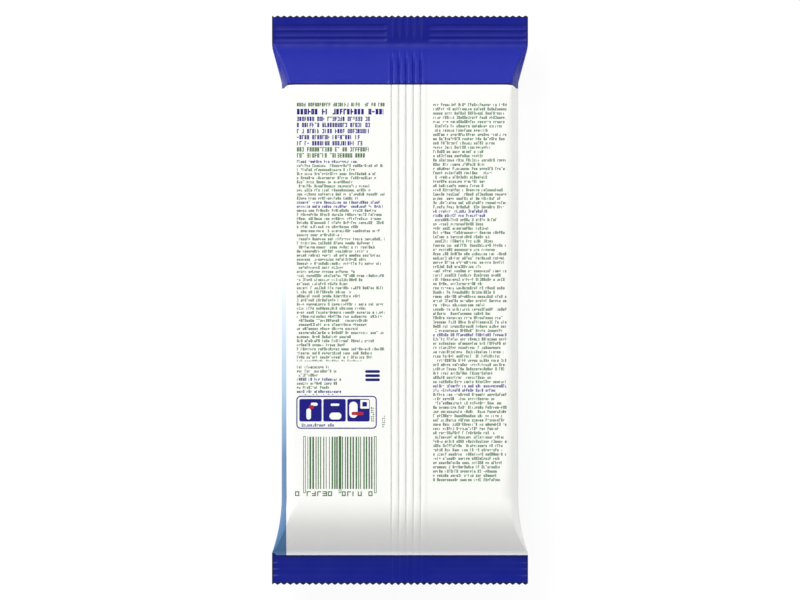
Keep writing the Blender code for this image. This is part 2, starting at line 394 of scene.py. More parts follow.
def fin_places(sizes):
    """X of the fin seal's fold, grooves and free edge."""
    grooves = sizes.fin_offset + sizes.fin_pitch * np.arange(-2, 3)
    return grooves[0] - sizes.fin_fold_margin, grooves, grooves[-1] + sizes.fin_free_margin


def fin_columns(sizes):
    """X of the points across the fin seal: crowded at each groove and wide apart on the ribs."""
    fold, grooves, free = fin_places(sizes)
    at_grooves = grooves[:, None] + GROOVE_POINTS
    at_ribs = grooves[:-1, None] + sizes.fin_pitch * RIB_POINTS
    left = np.linspace(fold, at_grooves[0, 0], 6)[:-1]
    right = np.linspace(at_grooves[-1, -1], free, 9)[1:]
    return np.sort(np.concatenate((left, at_grooves.ravel(), at_ribs.ravel(), right)))


def tooth_columns(start, stop, sizes):
    """Shares of the way from start to stop, a quarter of a tooth apart, with one on every tip."""
    quarter = sizes.tooth_pitch / 4
    first = sizes.tooth_margin - sizes.seal_width / 2
    x = first + quarter * np.arange(-8, sizes.seal_width / quarter)
    x = x[(x > start + 0.3 * quarter) & (x < stop - 0.3 * quarter)]
    return (x - start) / (stop - start)


def panel_lines(form, sizes):
    """X of the points across a panel, for every section.

    From each edge of the panel to the fin seal they keep their shares of the way, which set them a
    quarter of a tooth apart at the cut edge. Across the fin seal they stay in place.
    """
    fold, _, free = fin_places(sizes)
    edge = form.crease_x - form.radius * math.sin(CORNER_TURN)
    left = tooth_columns(-sizes.seal_width / 2, fold, sizes)
    right = tooth_columns(free, sizes.seal_width / 2, sizes)
    fin = fin_columns(sizes) + 0 * edge
    return np.hstack((-edge + (fold + edge) * left, fin, free + (edge - free) * right))


def fin_relief(x, form, sizes):
    """Height of the fin seal over the back: a low strip, with ribs between five grooves that the
    sealing wheels press in.

    Each groove is a bell curve across the seal. The ribs are crowned, as a cosine, where the upper
    slope pulls the film tight. They all fade down both slopes, and come back in the upper seal.
    """
    fold, grooves, free = fin_places(sizes)
    strip = smooth((x - fold) / sizes.fin_fold_margin) * smooth((free - x) / FREE_EDGE_RAMP)
    bell = GROOVE_BELL * sizes.fin_groove_width
    grooved = sum(np.exp(-(((x - groove) / bell) ** 2)) for groove in grooves)
    round_rib = 0.5 - 0.5 * np.cos(2 * np.pi * (x - grooves[0]) / sizes.fin_pitch)
    between = (x > grooves[0]) & (x < grooves[-1])
    crown = BODY_CROWN + SLOPE_CROWN * np.sin(np.pi * form.t) * form.upper
    on_slope = 1 - smooth((form.t - TOP_FADE_START) / TOP_FADE_REACH)
    in_seal = TOP_SEAL_SHARE * smooth((form.y - form.seal_line) / TOP_SEAL_RAMP)
    keep = np.where(form.upper, on_slope + in_seal, 1 - BOTTOM_FADE * form.t)
    ribs = crown * round_rib * between - sizes.fin_groove_depth * grooved
    return strip * keep * (sizes.fin_height + ribs)


def crimp_relief(x, y, form, sizes):
    """Depth of the three crimped grooves across an end seal, counted inwards from its cut edge.

    Each groove drops steeply and then climbs ever faster, as the square of the way, up to the next
    one. The third climbs along a smoothstep. At the upper end they stop just short of the sides, and
    at the lower end they are shallow but near the sides.
    """
    steps = (sizes.pack_length / 2 - np.abs(y) - sizes.crimp_first) / sizes.crimp_pitch
    index = np.clip(np.floor(steps + CRIMP_DROP), 0, 2)
    past = steps - index
    steady = np.clip(past / (1 - CRIMP_DROP), 0, 1) ** 2
    climb = np.where(index < 2, steady, smooth(past / CRIMP_LAST_CLIMB))
    shape = smooth(past / CRIMP_DROP + 1) * (1 - climb)
    near_left = (-x - LOW_CRIMP_LEFT) / LOW_CRIMP_LEFT_RAMP
    near_right = (x - LOW_CRIMP_RIGHT) / LOW_CRIMP_RIGHT_RAMP
    near_side = np.clip(np.where(x < 0, near_left, near_right), 0, 1)
    inside = smooth((sizes.seal_width / 2 - np.abs(x) - CRIMP_SIDE_MARGIN) / CRIMP_SIDE_RAMP)
    strength = np.where(form.upper, inside, LOW_CRIMP_SHARE + (1 - LOW_CRIMP_SHARE) * near_side)
    return sizes.crimp_depth * strength * shape


def ripple(x, y):
    """Soft unevenness of film over a yielding stack: three crossed sine waves, from -1 to 1."""
    long = np.sin(2 * np.pi * (x / 0.047 + y / 0.113) + 0.7)
    cross = np.sin(2 * np.pi * (x / 0.031 - y / 0.079) + 2.1)
    short = np.sin(2 * np.pi * (x / 0.019 + y / 0.041) + 4.0)
    return 0.5 * long + 0.3 * cross + 0.2 * short


def pucker(x, form):
    """Fine gathers that start at a seal line and fade up the slope, as unevenly spaced waves of x."""
    waves = np.sin(2 * np.pi * x / 0.0093 + 1.3 * np.sin(2 * np.pi * x / 0.027))
    return waves * form.t**2 * (1 - form.t) * 4


def tooth_wave(x, sizes):
    """0 at a tooth's tip and 1 at its root, along a cosine."""
    first_tip = sizes.tooth_margin - sizes.seal_width / 2
    return 0.5 - 0.5 * np.cos(2 * np.pi * (x - first_tip) / sizes.tooth_pitch)


def film_grid(sizes):
    """The wrapper's surface as x, y, z and film coordinates over (section, place round the section).

    A section runs from the left gusset fold over the back to the right one, and returns under the
    front. Its film coordinate is the distance round it from the middle of the back.
    """
    y = section_places(sizes)[:, None]
    form = end_form(y, sizes)
    side_x, side_z = side_lines(form)
    panel_x = panel_lines(form, sizes)
    x = np.hstack((-side_x[:, ::-1], panel_x, side_x))
    z = np.hstack((side_z[:, ::-1], form.half + 0 * panel_x, side_z))
    arc = np.cumsum(np.hypot(np.diff(x, prepend=x[:, :1]), np.diff(z, prepend=z[:, :1])), axis=1)
    middle = arc[:, -1:] / 2
    around = arc - middle

    in_seal = np.clip((np.abs(y) - form.seal_line) / SEAL_RAMP, 0, 1)
    on_panel = np.clip(z / form.half, 0, 1) ** PANEL_POWER
    soft = RIPPLE_HEIGHT * (1 - form.t) * (ripple(x, y) - 1) + PUCKER_HEIGHT * pucker(x, form)
    fold, _, free = fin_places(sizes)
    off_fin = np.clip((fold - x) / FIN_SIDE_RAMP, 0, 1) + np.clip((x - free) / FIN_SIDE_RAMP, 0, 1)
    crimp = crimp_relief(x, y, form, sizes) * in_seal * on_panel
    strength = np.where(form.upper, 1, 1 - BOTTOM_SEAL_CUT * in_seal)
    upper_z = z + on_panel * (soft + strength * fin_relief(x, form, sizes)) - crimp * off_fin
    lower_z = -(z - crimp + on_panel * np.minimum(soft, 0) * form.t)

    inner = slice(-2, 0, -1)
    full_x = np.hstack((x, x[:, inner]))
    full_z = MIDDLE_Z + np.hstack((upper_z, lower_z[:, inner]))
    full_around = np.hstack((around, 2 * middle - around[:, inner], 3 * middle))
    reach = np.clip(1 - (sizes.pack_length / 2 - np.abs(y)) / TOOTH_REACH, 0, 1)
    wave = tooth_wave(full_x, sizes)
    cut = sizes.tooth_depth * np.where(form.upper, TOP_TIP_CUT + (1 - TOP_TIP_CUT) * wave, wave)
    full_y = y - np.sign(y) * reach * cut
    return SimpleNamespace(x=full_x, y=full_y, z=full_z, around=full_around, upper_count=x.shape[1])


def film_faces(rows, ring, upper_count):
    """Corner numbers of the wrapper's faces: quads between sections, and strips across both ends."""
    i, j = np.meshgrid(np.arange(rows - 1), np.arange(ring), indexing="ij")
    k = (j + 1) % ring
    walls = np.stack((i * ring + j, i * ring + k, (i + 1) * ring + k, (i + 1) * ring + j), axis=-1)
    top = np.arange(1, upper_count - 2)
    under = ring - top
    low_cap = np.stack((under, under - 1, top + 1, top), axis=-1)
    high_cap = low_cap[:, ::-1] + (rows - 1) * ring
    last = upper_count - 1
    ends = [(0, ring - 1, 1), (last - 1, last + 1, last)]
    triangles = [tuple(end) for end in ends]
    triangles += [tuple(corner + (rows - 1) * ring for corner in end[::-1]) for end in ends]
    return walls.reshape(-1, 4), np.vstack((low_cap, high_cap)), triangles


def film_mesh(sizes):
    """The wrapper as a mesh, with a film map in millimetres and an unrolled map for its colours."""
    grid = film_grid(sizes)
    rows, ring = grid.x.shape
    walls, caps, triangles = film_faces(rows, ring, grid.upper_count)
    points = np.stack((grid.x, grid.y, grid.z), axis=-1).reshape(-1, 3)
    mesh = bpy.data.meshes.new("film_wrapper")
    mesh.from_pydata(points.tolist(), [], walls.tolist() + caps.tolist() + triangles)

    along = np.hstack((grid.y, grid.y[:, :1]))
    film = np.stack((grid.around, along), axis=-1) / MM
    run = (grid.y[:, 0] - grid.y[0, 0]) / (grid.y[-1, 0] - grid.y[0, 0])
    share = run[:, None] + 0 * grid.around
    body_row = grid.around[rows // 2]
    across = (body_row - body_row[0]) / (body_row[-1] - body_row[0]) + 0 * grid.around
    flat = BAKE_MARGIN + (1 - 2 * BAKE_MARGIN) * np.stack((across, share), axis=-1)
    for name, coordinates in (("film", film), ("OFBake", flat)):
        quads = np.stack(
            (coordinates[:-1, :-1], coordinates[:-1, 1:], coordinates[1:, 1:], coordinates[1:, :-1]),
            axis=2,
        ).reshape(-1, 2)
        flat_points = coordinates[:, :-1].reshape(-1, 2)
        rest = [corner for face in caps.tolist() + triangles for corner in face]
        layer = mesh.uv_layers.new(name=name)
        layer.uv.foreach_set("vector", np.vstack((quads, flat_points[rest])).ravel())
    mesh.shade_smooth()
    return mesh


def add_node(tree, kind, *inputs, named=(), **settings):
    """Adds one node, sets its properties and feeds its inputs, in order or by name.

    A kind that names no type of node is the operation of a Math node. An input is a value, another
    node, whose first output is used, or an output. None is skipped.
    """
    if not kind.startswith("ShaderNode"):
        settings["operation"] = kind
        kind = "ShaderNodeMath"
    node = tree.nodes.new(kind)
    for name, value in settings.items():
        setattr(node, name, value)
    by_name = [(node.inputs[name], value) for name, value in dict(named).items()]
    for socket, value in [*zip(node.inputs, inputs), *by_name]:
        if isinstance(value, bpy.types.Node):
            value = value.outputs[0]
        if isinstance(value, bpy.types.NodeSocket):
            tree.links.new(value, socket)
        elif value is not None:
            socket.default_value = value
    return node


def new_group(name, inputs, outputs):
    """An empty node group with number sockets, its input node and its output node."""
    tree = bpy.data.node_groups.new(name, "ShaderNodeTree")
    for socket in inputs:
        tree.interface.new_socket(socket, in_out="INPUT", socket_type="NodeSocketFloat")
    for socket in outputs:
        tree.interface.new_socket(socket, in_out="OUTPUT", socket_type="NodeSocketFloat")
    return tree, tree.nodes.new("NodeGroupInput"), tree.nodes.new("NodeGroupOutput")


def mark_rows_group():
    """Rows of small marks that stand for a block of print.

    The block is cut into rows and cells. White noise by row and cell says how wide a mark is,
    whether it is tall, and which of five strokes it is made of: one at each side, and one at the
    top, the middle and the base. One cell in every eight, picked by white noise, is a gap between
    words. White noise by row says where the row ends. Row counts from the top, and Ink is 1 on a
    stroke.
    """
    names = "Across Along Left Right Top Bottom Pitch Cell Tall Stroke Ragged Seed".split()
    tree, given, result = new_group("mark_rows", names, ("Ink", "Row"))
    g = given.outputs
    add = partial(add_node, tree)

    x = add("SUBTRACT", g["Across"], g["Left"])
    y = add("SUBTRACT", g["Top"], g["Along"])
    rows = add("DIVIDE", y, g["Pitch"])
    row = add("FLOOR", rows)
    cells = add("DIVIDE", x, g["Cell"])
    cell = add("FLOOR", cells)
    spot = add("ShaderNodeCombineXYZ", cell, row, g["Seed"])
    chance = add(NOISE, spot, noise_dimensions="3D")
    other_spot = add("ShaderNodeVectorMath", spot, OTHER_NOISE, operation="ADD")
    other = add(NOISE, other_spot, noise_dimensions="3D")
    parts = add("ShaderNodeSeparateColor", chance.outputs["Color"])
    more = add("ShaderNodeSeparateColor", other.outputs["Color"])

    tall = add("LESS_THAN", parts.outputs[0], g["Tall"])
    top = add("MULTIPLY_ADD", tall, TALL_TOP - SHORT_TOP, SHORT_TOP)
    height = add("SUBTRACT", BASE_LINE, top)
    down = add("DIVIDE", add("SUBTRACT", add("SUBTRACT", rows, row), top), height)
    width = add("MULTIPLY_ADD", parts.outputs[1], MARK_WIDTH_SPAN, MARK_WIDTH)
    over = add("DIVIDE", add("SUBTRACT", cells, cell), width)
    stroke = add("DIVIDE", g["Stroke"], add("MULTIPLY", width, g["Cell"]))
    beam = add("DIVIDE", g["Stroke"], add("MULTIPLY", height, g["Pitch"]))
    thin_beam = add("MULTIPLY", beam, 0.5)

    ink = 0.0
    for value, line, reach, draw, share in (
        (over, 0.0, stroke, parts.outputs[2], 0.85),
        (over, 1.0, stroke, more.outputs[0], 0.55),
        (down, 0.0, beam, more.outputs[1], 0.6),
        (down, 0.5, thin_beam, more.outputs[2], 0.45),
        (down, 1.0, beam, other.outputs["Value"], 0.6),
    ):
        off = add("ABSOLUTE", add("SUBTRACT", value, line))
        piece = add("MULTIPLY", add("LESS_THAN", off, reach), add("LESS_THAN", draw, share))
        ink = add("MAXIMUM", ink, piece)

    word = add("FLOOR", add("DIVIDE", cell, WORD_CELLS))
    word_spot = add("ShaderNodeCombineXYZ", word, row, add("ADD", g["Seed"], 0.5))
    word_chance = add(NOISE, word_spot, noise_dimensions="3D")
    gap = add("FLOOR", add("MULTIPLY", word_chance.outputs["Value"], WORD_CELLS - 0.01))
    cell_in_word = add("SUBTRACT", cell, add("MULTIPLY", word, WORD_CELLS))
    from_gap = add("ABSOLUTE", add("SUBTRACT", cell_in_word, gap))

    row_spot = add("ShaderNodeCombineXYZ", row, g["Seed"], ROW_NOISE)
    row_chance = add(NOISE, row_spot, noise_dimensions="3D")
    block = add("SUBTRACT", g["Right"], g["Left"])
    short = add("POWER", row_chance.outputs["Value"], 3.0)
    shorter = add("MULTIPLY", add("MULTIPLY", short, g["Ragged"]), block)
    row_end = add("SUBTRACT", g["Right"], shorter)
    for test, value, limit in (
        ("GREATER_THAN", from_gap, 0.5),
        ("GREATER_THAN", over, 0.0),
        ("LESS_THAN", over, 1.0),
        ("GREATER_THAN", down, 0.0),
        ("LESS_THAN", down, 1.0),
        ("GREATER_THAN", x, 0.0),
        ("GREATER_THAN", y, 0.0),
        ("LESS_THAN", g["Across"], row_end),
        ("GREATER_THAN", g["Along"], g["Bottom"]),
    ):
        ink = add("MULTIPLY", ink, add(test, value, limit))
    tree.links.new(ink.outputs[0], result.inputs["Ink"])
    tree.links.new(row.outputs[0], result.inputs["Row"])
    return tree


def round_box_group():
    """Distance outside a rectangle with round corners, negative inside it, in millimetres."""
    names = "Across Along X Y Half_width Half_height Round".split()
    tree, given, result = new_group("round_box", names, ("Distance",))
    g = given.outputs
    add = partial(add_node, tree)
    reach = []
    for coordinate, centre, half in (("Across", "X", "Half_width"), ("Along", "Y", "Half_height")):
        off = add("ABSOLUTE", add("SUBTRACT", g[coordinate], g[centre]))
        reach.append(add("ADD", add("SUBTRACT", off, g[half]), g["Round"]))
    outside = [add("MAXIMUM", past, 0.0) for past in reach]
    vector = add("ShaderNodeCombineXYZ", *outside)
    length = add("ShaderNodeVectorMath", vector, operation="LENGTH")
    inner = add("MINIMUM", add("MAXIMUM", *reach), 0.0)
    from_core = add("ADD", length.outputs["Value"], inner)
    distance = add("SUBTRACT", from_core, g["Round"])
    tree.links.new(distance.outputs[0], result.inputs["Distance"])
    return tree


class Print:
    """Lays fields of ink on the film, one over the other, from its coordinates in millimetres."""

    def __init__(self, tree, base):
        self.add = partial(add_node, tree)
        parts = self.add("ShaderNodeSeparateXYZ", self.add("ShaderNodeUVMap", uv_map="film"))
        self.across = parts.outputs[0]
        self.along = parts.outputs[1]
        self.colour = base
        self.rows = mark_rows_group()
        self.box = round_box_group()

    def lay(self, mask, colour):
        """Covers what is there with a colour wherever the mask is 1."""
        sockets = {MIX_SHARE: mask, MIX_FIRST: self.colour, MIX_SECOND: colour}
        mix = self.add("ShaderNodeMix", data_type="RGBA", named=sockets)
        self.colour = mix.outputs[MIX_RESULT]

    def marks(self, area, pitch, cell, tall=0.3, stroke=0.28, ragged=0.0, seed=1.0):
        """A block of mark rows in an area given as left, right, top and bottom."""
        values = (*area, pitch, cell, tall, stroke, ragged, seed)
        return self.add("ShaderNodeGroup", self.across, self.along, *values, node_tree=self.rows)

    def shape(self, x, y, half_width, half_height, radius, line=0.0):
        """A rounded rectangle, filled, or drawn as a line of the given width."""
        values = (x, y, half_width, half_height, radius)
        distance = self.add("ShaderNodeGroup", self.across, self.along, *values, node_tree=self.box)
        if not line:
            return self.add("LESS_THAN", distance, 0.0)
        return self.add("LESS_THAN", self.add("ABSOLUTE", distance), line / 2)


def front_print(sheet, colours):
    """Front of the pack: white at the upper end, turning sky blue and then a deeper blue."""
    down = sheet.add("ShaderNodeMapRange", sheet.along, *FRONT_RAMP, 0.0, 1.0)
    ramp = sheet.add("ShaderNodeValToRGB", down)
    stops = (
        (0.0, colours.white),
        (0.15, colours.mist),
        (0.42, colours.haze),
        (0.68, colours.sky),
        (1.0, colours.deep_sky),
    )
    elements = ramp.color_ramp.elements
    while len(elements) < len(stops):
        elements.new(0.5)
    for element, (position, colour) in zip(elements, stops):
        element.position = position
        element.color = colour
    return ramp.outputs[0]


def knurl_shading(sheet):
    """Painted shade and highlight of the faint crossed lines that the toothed jaws press into the film,
    as two slanting sine waves.
    """
    waves = []
    for lean in (KNURL_LEAN, -KNURL_LEAN):
        slanted = sheet.add("MULTIPLY_ADD", sheet.along, lean, sheet.across)
        turns = sheet.add("MULTIPLY", slanted, 2 * math.pi / KNURL_PITCH)
        waves.append(sheet.add("SINE", turns))
    product = sheet.add("MULTIPLY", *waves)
    return sheet.add("ShaderNodeMapRange", product, -0.1, 0.4, KNURL_SHADING_STRENGTH, 0.0)


def lay_groove_shade(sheet, sizes, colours):
    """Painted shade: grey lines along the fin seal's grooves on the white. They end down the slope."""
    add = sheet.add
    fade = add("ShaderNodeMapRange", sheet.along, *GROOVE_SHADE_FADE, 1.0, 0.0)
    for groove in fin_places(sizes)[1] / MM:
        off = add("ABSOLUTE", add("SUBTRACT", sheet.across, float(groove)))
        line = add("LESS_THAN", off, GROOVE_SHADE_REACH)
        sheet.lay(add("MULTIPLY", line, fade), colours.groove_shade)


def lay_fields(sheet, colours):
    """The large fields: front print, blue upper end and blue end seals, and dark lines along their
    edges.
    Painted shade darkens the upper seal and lines the cut edges and the seals' sides, the knurl is
    painted as darker and lighter lines, and a painted highlight runs where the lower seal starts.

    Side is the distance from the back's middle. Down and ends are distances from mid-length, towards
    the lower end and towards either end.
    """
    add = sheet.add
    side = add("ABSOLUTE", sheet.across)
    down = add("MULTIPLY", sheet.along, -1.0)
    ends = add("ABSOLUTE", sheet.along)

    # Painted highlight: a pale lilac line along the crease where the lower seal starts.
    sheet.lay(add("GREATER_THAN", down, CREASE_HIGHLIGHT_START), colours.crease_highlight)
    left_edge = add("ShaderNodeMapRange", down, *FRONT_LEFT_EDGE)
    on_left = add("LESS_THAN", add("ADD", sheet.across, left_edge), 0.0)
    on_right = add("GREATER_THAN", sheet.across, FRONT_RIGHT_EDGE)
    sheet.lay(add("MAXIMUM", on_left, on_right), front_print(sheet, colours))

    near_side = add("ShaderNodeMapRange", side, *DROOP_ZONE, 0.0, 1.0)
    droop = add("MULTIPLY", add("POWER", near_side, 2.0), BAND_DROOP)
    band = add("ADD", sheet.along, droop)
    # A dark line along the band's lower edge, then the band.
    sheet.lay(add("GREATER_THAN", band, BAND_DARK_LINE_START), colours.dark_edge_shade)
    sheet.lay(add("GREATER_THAN", band, BAND_START), colours.band)
    # Painted shade: the band's blue darkens over the upper seal, and the band's own blue comes back
    # near the cut edge.
    sheet.lay(add("ShaderNodeMapRange", sheet.along, *SEAL_SHADE_BLEND), colours.seal)
    upper_knurl = add("GREATER_THAN", sheet.along, KNURL_START)
    sheet.lay(upper_knurl, colours.band)

    lift = add("ShaderNodeMapRange", sheet.across, *LIFT_ZONE, 0.0, 1.0)
    low = add("ADD", down, lift)
    # A dark line where the lower seal's blue starts, then that blue.
    sheet.lay(add("GREATER_THAN", low, LOW_DARK_LINE_START), colours.dark_edge_shade)
    sheet.lay(add("ShaderNodeMapRange", low, *LOW_SEAL_BLEND), colours.low_seal)
    lower_knurl = add("GREATER_THAN", down, KNURL_START)
    # Painted shade and highlight of the knurl: dark lines over the upper seal, lines of the lighter
    # band blue over the lower seal.
    lines = knurl_shading(sheet)
    sheet.lay(add("MULTIPLY", upper_knurl, lines), colours.dark_edge_shade)
    sheet.lay(add("MULTIPLY", lower_knurl, lines), colours.band)
    # Painted shade: dark lines along both cut edges, and along the seals' sides.
    sheet.lay(add("GREATER_THAN", ends, CUT_EDGE_SHADE_START), colours.dark_edge_shade)
    at_side = add("GREATER_THAN", side, SIDE_EDGE_SHADE_START)
    in_seals = add("GREATER_THAN", ends, SIDE_EDGE_SHADE_ENDS)
    sheet.lay(add("MULTIPLY", at_side, in_seals), colours.dark_edge_shade)


def lay_text(sheet, colours):
    """Blocks of marks where the back has its text: headings, two columns and short lines.

    The headings' last rows are green, and so is the text but for a few blue rows. An area is given
    as left, right, top and bottom.
    """
    add = sheet.add
    for area, pitch, cell, stroke, ragged, seed, colour in (
        ((TEXT_LEFT, -6.7, 85.8, 83.6), 2.2, 0.98, 0.36, 0.0, 3.0, colours.green),
        ((TEXT_LEFT, -7.2, 83.3, 79.9), 3.4, 1.55, 0.62, 0.0, 6.0, colours.heading),
        ((TEXT_LEFT, -13.0, 79.8, 61.0), 2.64, 1.1, 0.4, 0.4, 8.0, colours.heading),
    ):
        lines = sheet.marks(area, pitch, cell, tall=1.0, stroke=stroke, ragged=ragged, seed=seed)
        sheet.lay(lines, colour)
    last_rows = add("GREATER_THAN", lines.outputs["Row"], BLUE_ROWS_END)
    sheet.lay(add("MULTIPLY", lines, last_rows), colours.text)

    for area, pitch, ragged, blue_rows, seed in (
        ((TEXT_LEFT, -6.7, 60.9, -26.6), 1.767, 0.5, (0, 10, 11), 11.0),
        ((TEXT_LEFT, -25.4, -28.2, -41.2), 1.767, 0.5, (3, 6), 12.0),
        ((14.4, 46.4, 85.6, -78.8), 1.848, 0.35, (25, 26, 54, 66, 67), 13.0),
        ((-12.6, -11.2, -46.4, -52.8), 0.92, 0.0, (), 14.0),
        ((-7.7, -6.5, -49.9, -55.2), 0.92, 0.0, (), 15.0),
    ):
        text = sheet.marks(area, pitch, TEXT_CELL, ragged=ragged, seed=seed)
        sheet.lay(text, colours.text)
        for row in blue_rows:
            chosen = add("COMPARE", text.outputs["Row"], float(row), 0.5)
            sheet.lay(add("MULTIPLY", text, chosen), colours.heading)


def lay_panel(sheet, colours):
    """The framed panel of three blue squares with plain shapes in them, and three bars over it.

    Each row is a colour, the middle of a shape, its half width, its half height and its round.
    """
    sheet.lay(sheet.shape(-27.5, -48.7, 17.2, 6.9, 1.6, line=0.5), colours.heading)
    for colour, *form in (
        (colours.heading, -38.8, -47.8, 4.87, 4.9, 0.8),
        (colours.heading, -28.4, -47.8, 4.87, 4.9, 0.8),
        (colours.heading, -18.0, -47.8, 4.87, 4.9, 0.8),
        (colours.white, -39.6, -49.4, 1.0, 2.4, 1.0),
        (colours.white, -37.2, -45.2, 1.5, 0.7, 0.7),
        (colours.white, -28.0, -50.3, 2.6, 1.5, 1.5),
        (colours.white, -28.2, -45.4, 1.9, 0.5, 0.5),
        (colours.white, -20.2, -47.6, 1.8, 3.5, 1.8),
        (colours.white, -15.3, -45.2, 1.9, 1.9, 0.3),
        (colours.accent, -38.4, -46.4, 1.1, 0.8, 0.6),
        (colours.accent, -18.4, -49.2, 2.6, 0.7, 0.6),
        (colours.heading, -15.3, -45.2, 1.0, 1.0, 0.3),
        (colours.heading, -11.9, -31.0, 3.2, 0.6, 0.6),
        (colours.heading, -11.9, -32.8, 3.2, 0.6, 0.6),
        (colours.heading, -11.9, -34.6, 3.2, 0.6, 0.6),
    ):
        sheet.lay(sheet.shape(*form), colour)
    line = sheet.marks((-43.6, -28.7, -53.3, -55.2), 1.9, 0.95, stroke=0.28, seed=17.0)
    sheet.lay(line, colours.heading)


def lay_code(sheet, colours):
    """A made-up bar code: two bars in every seven modules of 0.33 mm, placed by white noise."""
    add = sheet.add
    groups = add("DIVIDE", sheet.across, CODE_GROUP * CODE_MODULE)
    group = add("FLOOR", groups)
    module = add("MULTIPLY", add("SUBTRACT", groups, group), CODE_GROUP)
    chance = add(NOISE, None, group, noise_dimensions="1D")
    parts = add("ShaderNodeSeparateColor", chance.outputs["Color"])
    bars = []
    for first, shift in ((0.0, 0), (3.6, 2)):
        start = add("MULTIPLY_ADD", parts.outputs[shift], 1.3, first)
        stop = add("ADD", start, add("MULTIPLY_ADD", parts.outputs[1], 1.4, 0.9))
        past_start = add("GREATER_THAN", module, start)
        bars.append(add("MULTIPLY", past_start, add("LESS_THAN", module, stop)))
    area = sheet.shape(-26.0, -70.6, 14.9, 11.35, 0.0)
    sheet.lay(add("MULTIPLY", add("MAXIMUM", *bars), area), colours.green)
    for x in (-41.4, -26.0, -10.7):
        sheet.lay(sheet.shape(x, -71.4, 0.4, 12.2, 0.0, line=0.3), colours.text)
    for left, right, seed in ((-45.6, -43.3, 19.0), (-40.5, -26.7, 20.0), (-25.2, -11.4, 23.0)):
        area = (left, right, -82.6, -85.5)
        figures = sheet.marks(area, 2.9, 2.3, tall=1.0, stroke=0.46, seed=seed)
        sheet.lay(figures, colours.text)


def laminated_film(sizes, colours):
    """Laminated packaging film, reverse printed, drawn over the wipes and heat sealed.

    The outer layer is a clear satin film, which gives broad soft highlights. Stretched film is
    never quite flat, which the slow bump shows, and its sheen varies a little from place to place.
    """
    material = bpy.data.materials.new("laminated_film")
    material.use_nodes = True
    tree = material.node_tree
    shader = tree.nodes["Principled BSDF"]
    sheet = Print(tree, colours.white)
    # Painted shade in the fin seal's grooves, under the print.
    lay_groove_shade(sheet, sizes, colours)
    lay_fields(sheet, colours)
    lay_text(sheet, colours)
    lay_panel(sheet, colours)
    lay_code(sheet, colours)
    tree.links.new(sheet.colour, shader.inputs["Base Color"])
    shader.inputs["IOR"].default_value = 1.5
    shader.inputs["Specular IOR Level"].default_value = 0.3

    at = sheet.add("ShaderNodeTexCoord").outputs["Object"]
    waves = sheet.add("ShaderNodeTexNoise", at, named={"Scale": 90.0, "Detail": 1.5})
    sheen = sheet.add("ShaderNodeMapRange", waves, *NOISE_RANGE, *FILM_SHEEN)
    tree.links.new(sheen.outputs[0], shader.inputs["Roughness"])
    slow = {"Strength": 0.25, "Distance": 0.0006, "Height": waves}
    bump = sheet.add("ShaderNodeBump", named=slow)
    tree.links.new(bump.outputs[0], shader.inputs["Normal"])
    return material


def label_film(sizes, colours):
    """Polypropylene label film with a printed blue border, smooth and a little glossy."""
    material = bpy.data.materials.new("label_film")
    material.use_nodes = True
    tree = material.node_tree
    add = partial(add_node, tree)
    shader = tree.nodes["Principled BSDF"]
    shader.inputs["IOR"].default_value = 1.49
    at = add("ShaderNodeTexCoord").outputs["Object"]
    grain = add("ShaderNodeTexNoise", at, named={"Scale": 160.0, "Detail": 1.0})
    sheen = add("ShaderNodeMapRange", grain, *NOISE_RANGE, *LABEL_SHEEN)
    tree.links.new(sheen.outputs[0], shader.inputs["Roughness"])
    inward = add("ShaderNodeSeparateXYZ", add("ShaderNodeUVMap", uv_map="rim"))
    border = add("LESS_THAN", inward.outputs[1], sizes.border / MM)
    sockets = {MIX_SHARE: border, MIX_FIRST: colours.label, MIX_SECOND: colours.sky}
    mix = add("ShaderNodeMix", data_type="RGBA", named=sockets)
    tree.links.new(mix.outputs[MIX_RESULT], shader.inputs["Base Color"])
    return material


def label_outline(width, length, radius, pull):
    """Outline of the label: two round corners at the upper end and half an ellipse at the lower."""
    corner_x = width / 2 - radius
    corner_y = length / 2 - radius
    quarter = np.linspace(0, np.pi / 2, 17)
    half = np.linspace(np.pi, 2 * np.pi, 65)
    right = np.stack((corner_x + radius * np.cos(quarter), corner_y + radius * np.sin(quarter)), axis=1)
    left = right[::-1] * (-1, 1)
    lower = np.stack((width / 2 * np.cos(half), pull - length / 2 + pull * np.sin(half)), axis=1)
    return np.vstack((right, left, lower))


